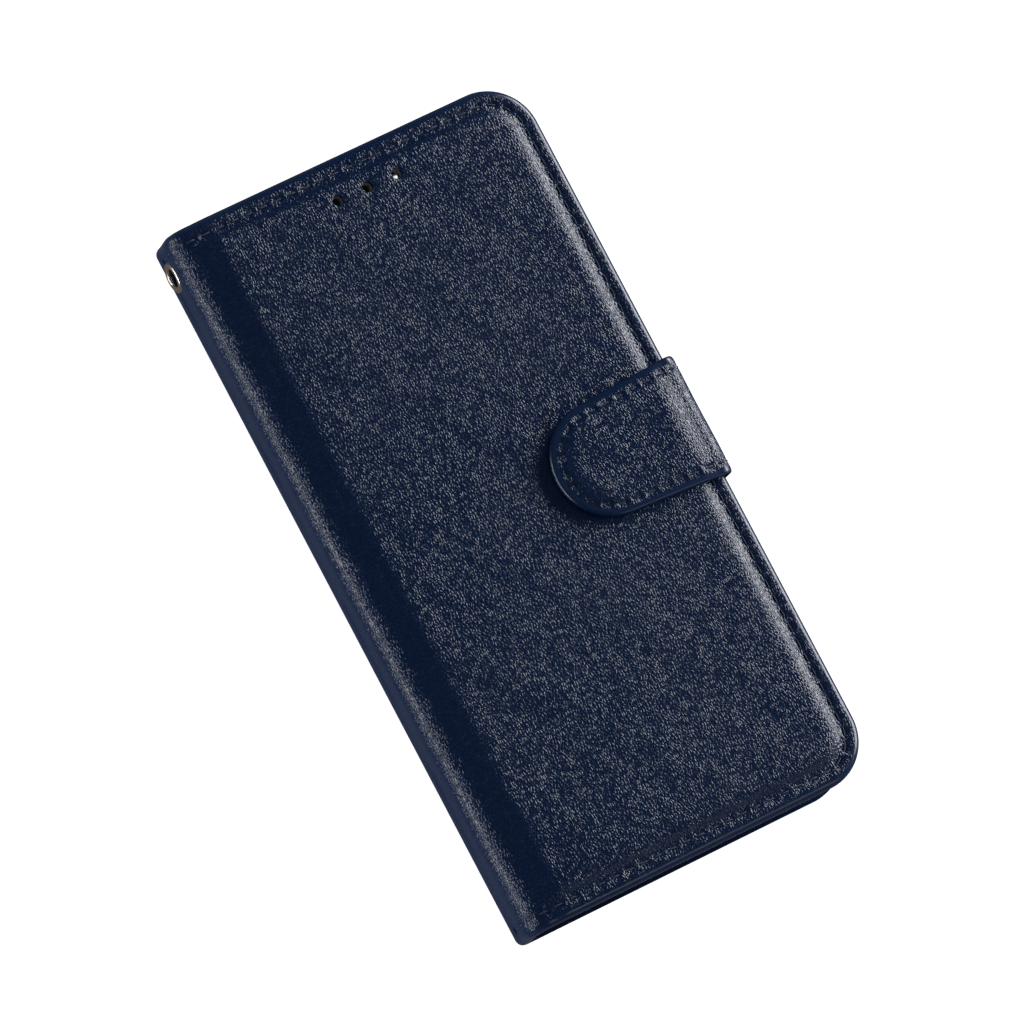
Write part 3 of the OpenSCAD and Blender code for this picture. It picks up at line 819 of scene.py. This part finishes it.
lowStrapLiningLeaf = dict(lowStrapLeaf, sEnd=lowStrapIn["length"], depth=0.5 * mm, skin=0.5 * mm, lip=0.2 * mm,
                          halfW=strap["half"] - 0.15 * mm)
lowStrap = closedLeaf("strapRoot", lowStrapPath, lowStrapLeaf, finish["leather"], step=0.9 * mm, fine=0.3 * mm,
                      zones=[(15.5 * mm, 2.5 * mm)])
lowLining = closedLeaf("strapRootLining", lowStrapIn, lowStrapLiningLeaf, finish["pocket"], step=0.9 * mm,
                       fine=0.3 * mm, zones=[(14.3 * mm, 2 * mm)])
for piece in (lowStrap, lowLining):
    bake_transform(piece)
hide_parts("strap_root")

topStrapPath = makePath([[(strap["outerX"], strap["seamZ"]), (strap["outerX"], top["z"])],
                         bendArc(top["x"], top["z"], top["r"], 0, 90),
                         bezier((top["x"], top["z"] + top["r"]), (39.2 * mm, 19.45 * mm),
                                (37.5 * mm, strap["faceZ"]), (35 * mm, strap["faceZ"])),
                         [(strap["tip"], strap["faceZ"])]], side=-1)
strapFoldS = top["z"] - strap["seamZ"] + np.pi / 2 * top["r"]


def tabWidth(s, length=topStrapPath["length"]):
    # tapers from the fold to the start of the round end
    t = np.clip((length - strap["endR"] - s) / (length - strap["endR"] - strapFoldS), 0, 1)
    return 1 + (strap["half"] / strap["endR"] - 1) * t


topStrapLeaf = dict(sEnd=topStrapPath["length"], halfW=strap["endR"], r=strap["endR"], lip=1.0 * mm, depth=1.2 * mm,
                    skin=1.2 * mm, hem=0.6 * mm, wide=tabWidth, sewn=strap["sewn"], near=5 * mm,
                    pressed=(1.0 * mm, 1.5 * mm),
                    thin=lambda s: 0.58 + 0.42 * smooth(s, strapFoldS - 1 * mm, strapFoldS + 5 * mm))


def tabRelief(grid, plain=False):
    # a raised pebbled middle inside the sewn line, over the magnet
    s, inset = grid["s"], grid["inset"]
    up = 1 - (1 - np.clip((inset - strap["padFrom"]) / (5.2 * mm), 0, 1)) ** 2.2
    pad = strap["pad"] * up * smooth(s, strapFoldS - 1.5 * mm, strapFoldS + 5 * mm)
    sag = 0.15 * mm * smooth(s, strapFoldS + 8 * mm, topStrapPath["length"])      # the tip stands off the cover
    if plain:
        return sag
    hill = 0.05 * mm * np.sin(s * 420 + 0.5) * np.sin(grid["t"] * 380 + 0.8)
    return pad + sag + hill + sewnRelief(grid, strap["sewn"])


topStrap = closedLeaf("strapTab", topStrapPath, topStrapLeaf, finish["leather"], tabRelief, step=0.42 * mm,
                      fine=0.26 * mm, zones=[(7.4 * mm + 2.4 * mm, 3 * mm)])
topStrapIn = makePath([[(strap["innerX"], strap["seamZ"]), (strap["innerX"], top["z"])],
                       bendArc(top["x"], top["z"], 1.8 * mm, 0, 90),
                       [(strap["tip"] + 0.25 * mm, 18.25 * mm)]], side=1)
inFoldS = top["z"] - strap["seamZ"] + np.pi / 2 * 1.8 * mm


def tabLiningWidth(s, length=topStrapIn["length"]):
    t = np.clip((length - strap["endR"] - s) / (length - strap["endR"] - inFoldS), 0, 1)
    return 1 + (strap["half"] / strap["endR"] - 1) * t


topLiningLeaf = dict(sEnd=topStrapIn["length"], halfW=strap["endR"] - 0.25 * mm, r=strap["endR"] - 0.25 * mm,
                     lip=0.22 * mm, depth=0.5 * mm, skin=0.5 * mm, hem=0.4 * mm, wide=tabLiningWidth, near=2 * mm)


def tabLiningRelief(grid, plain=False):
    return -0.15 * mm * smooth(grid["s"], inFoldS + 8 * mm, topStrapIn["length"])


topLining = closedLeaf("strapTabLining", topStrapIn, topLiningLeaf, finish["pocket"], tabLiningRelief,
                       step=0.7 * mm, fine=0.3 * mm, zones=[(7.4 * mm + 1.4 * mm, 2 * mm)])
tabThread = threadRow("tabThread", topStrapPath, sewnMarks(topStrapLeaf, start=3 * mm), finish["thread"],
                      lift=-0.12 * mm, wide=tabWidth)
for piece in (topStrap, topLining, tabThread):
    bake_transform(piece)
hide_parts("strap_side_leather", "strap_tab_leather")
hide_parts("strap_side_lining", "strap_tab_lining")
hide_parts("tab_stitching")
print("strap:", len(topStrap.data.polygons), "faces on the tab")


eyelet = dict(
    bore=2.0 * mm,
    proud=0.6 * mm,
    wallT=1.9 * mm,
    washer=0.5 * mm,
    midR=2.78 * mm,      # the middle of the rolled flange
    rollR=0.72 * mm,     # its half width
    tuck=0.02 * mm,
    sides=72,
)


def turned(name, profile, mat, sides):
    # a closed profile of (distance along x, radius) turned about the eyelet's own line
    a = np.linspace(0, 2 * np.pi, sides, endpoint=False)
    p = np.array(profile)
    rings = np.stack([np.broadcast_to(p[:, :1], (len(p), sides)),
                      eyeletY + p[:, 1:] * np.cos(a), eyeletZ + p[:, 1:] * np.sin(a)], -1)
    i, j = np.meshgrid(np.arange(len(p)), np.arange(sides), indexing="ij")
    i2, j2 = (i + 1) % len(p), (j + 1) % sides
    faces = np.stack([i * sides + j, i * sides + j2, i2 * sides + j2, i2 * sides + j], -1).reshape(-1, 4)
    return newPiece(name, rings, faces.tolist(), mat, sharp=40)


def eyeletProfile():
    # a rolled flange outside the leather, a thin barrel through it, and a lip spread over the washer
    e, x0 = eyelet, spineX
    inX = x0 + e["wallT"] + e["washer"]
    out, mid = x0 - e["tuck"], e["midR"]
    roll = bendArc(out, mid, e["rollR"], 0, 180, 22)
    outer = np.stack([out - (roll[:, 1] - mid) * e["proud"] / e["rollR"], roll[:, 0] - out + mid], 1)
    outer[:, 1] = np.where(outer[:, 1] < e["bore"] + 0.06 * mm, e["bore"], outer[:, 1])
    tail = np.array([(inX - 0.1 * mm, e["bore"]), (inX + 0.12 * mm, e["bore"] + 0.16 * mm),
                     (inX + 0.12 * mm, e["bore"] + 0.5 * mm), (inX, e["bore"] + 0.6 * mm),
                     (x0 + 0.1 * mm, e["bore"] + 0.6 * mm), (x0, e["bore"] + 0.6 * mm)])
    return np.vstack([outer, tail])


def washerProfile():
    e = eyelet
    x0, x1 = spineX + e["wallT"], spineX + e["wallT"] + e["washer"]
    r0, r1, c = e["bore"] + 0.62 * mm, 3.0 * mm, 0.15 * mm
    return [(x0, r0), (x1, r0), (x1, r1 - c), (x1 - c, r1), (x0 + c, r1), (x0, r1 - c)]


eyeletRing = turned("eyeletRing", eyeletProfile(), finish["eyelet"], eyelet["sides"])
eyeletWasher = turned("eyeletWasher", washerProfile(), finish["eyelet"], eyelet["sides"])
for piece, cadNode in ((eyeletRing, "eyelet"), (eyeletWasher, "eyelet_washer")):
    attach(piece, "spine")
    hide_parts(cadNode)
print("eyelet ready")


lining = dict(t=0.45 * mm, depth=1.7 * mm, inset=0.85 * mm, boardX=-35.4 * mm, corner=10.65 * mm)


def liningPath(curve, zDeep, zFace, side):
    # round the spine's inner side, along under the leather, then a soft step onto the board
    bx = lining["boardX"]
    return makePath([*curve, bezier((bx - 0.6 * mm, zDeep), (bx + 0.1 * mm, zDeep), (bx - 0.1 * mm, zFace),
                                    (bx + 0.8 * mm, zFace)),
                     [(edgeX - lining["inset"], zFace)]], side)


spineInX = spineX + eyelet["wallT"]
inner = lining["depth"]
frontLiningPath = liningPath([[(spineX + inner, foldR), (spineX + inner, stripZ - foldR)],
                              bendArc(foldX, stripZ - foldR, foldR - inner, 180, 130)],
                             stripZ - 2.35 * mm, coverLowZ, side=-1)
backLiningPath = liningPath([[(spineX + inner, foldR), (spineX + inner, lowR)],
                             bendArc(spineX + lowR, lowR, lowR - inner, 180, 270)], inner, backTopZ, side=1)


def softCloth(grid, plain=False):
    hills = 0.04 * mm * np.sin(grid["s"] * 260 + 0.7) * np.sin(grid["t"] * 190)
    return hills * smooth(grid["inset"], 1 * mm, 5 * mm)


def liningLeaf(path):
    return dict(sEnd=path["length"], halfW=halfL - lining["inset"], r=lining["corner"], lip=0.2 * mm,
                depth=lining["t"], skin=lining["t"], hem=0.3 * mm, near=2 * mm)


frontLining = closedLeaf("frontLining", frontLiningPath, liningLeaf(frontLiningPath), finish["lining"], softCloth,
                         step=1.0 * mm, fine=0.4 * mm, zones=[(6 * mm, 11 * mm)])
cutHoles(frontLining, soundHoles(coverLowZ, cover["holes"]["r"], 5 * mm) + [eyeletHole(spineInX, 4 * mm)])
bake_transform(frontLining)
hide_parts("front_lining", "spine_lining")
backLining = closedLeaf("backLining", backLiningPath, liningLeaf(backLiningPath), finish["lining"], softCloth,
                        step=1.0 * mm, fine=0.4 * mm, zones=[(4 * mm, 7 * mm)])
cutHoles(backLining, [windowCutter()])
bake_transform(backLining)
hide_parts("back_lining")
print("linings ready")


pockets = dict(half=46 * mm, mouth=1.6 * mm, sewn=1.5 * mm)


def pocketSheet(name, cadNode, halfW, r, mouth):
    # a thin sheet on the cover's inner side, its mouth dipping a little in the middle
    (x0, _, z0), (x1, _, z1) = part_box(cadNode)
    path = makePath([[(x0, z0), (x1, z0)]], side=-1)
    t = (z1 - z0) * 0.94
    leaf = dict(sEnd=path["length"], halfW=halfW, r=r, lip=0.15 * mm, depth=t, skin=t, hem=0.3 * mm,
                mouth=mouth, near=1.5 * mm)
    piece = closedLeaf(name, path, leaf, finish["pocket"], step=1.4 * mm, fine=0.5 * mm, zones=[(0, 2 * mm)])
    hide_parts(cadNode)
    return piece


cashPocket = pocketSheet("cashPocket", "cash_pocket", halfL - 1.4 * mm, 10.1 * mm, 2.5 * mm)
cutHoles(cashPocket, soundHoles(coverLowZ, cover["holes"]["r"], 5 * mm))
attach(cashPocket, "front_cover")
for k in (1, 2, 3):
    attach(pocketSheet("cardSlot%d" % k, "card_slot_%d" % k, pockets["half"], 1.5 * mm, pockets["mouth"]),
            "front_cover")

(px0, _, pz0), (px1, _, pz1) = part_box("pocket_stitching")
pocketPath = makePath([[(px0, pz1), (px1, pz1)]], side=-1)
ks = np.arange(int((px1 - px0) / sewing["pitch"]))
uu = np.linspace(-1, 1, 7)
line = (ks[:, None] + 0.5) * sewing["pitch"] + uu * sewing["length"] / 2
both = np.vstack([line, line])
sideY = np.repeat([-1, 1], len(ks))[:, None] * (pockets["half"] + pockets["sewn"]) + 0 * both
pocketThread = threadRow("pocketThread", pocketPath, (both, sideY, uu), finish["thread"])
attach(pocketThread, "front_cover")
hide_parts("pocket_stitching")
print("pockets ready")


# the padding's edge is drawn further in, so it stays under the panel where the leather has risen
(foamX0, foamY0, foamZ0), (foamX1, foamY1, foamZ1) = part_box("front_foam")
foam = dict(edge=2.6 * mm, r=6 * mm, under=0.1 * mm, hole=1.6 * mm)
frontFoam = roundedBlock("frontFoam", (foamX0 + foamX1) / 2, 0,
                         (foamX1 - foamX0 - 2 * foam["edge"], foamY1 - foamY0 - 2 * foam["edge"]), foam["r"],
                         foamZ0, foamZ1 - foam["under"])
cutHoles(frontFoam, soundHoles(foamZ1, foam["hole"], 5 * mm))
fillIn(frontFoam, finish["foam"])
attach(frontFoam, "front_cover")
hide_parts("front_foam")

kept = dict(phone_tray="tray", back_board="board", spine_board="board", front_board="board", catch_plate="steel",
            tab_magnet="steel")
for name, key in kept.items():
    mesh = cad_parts[name].data
    mesh.materials.clear()
    mesh.materials.append(finish[key])
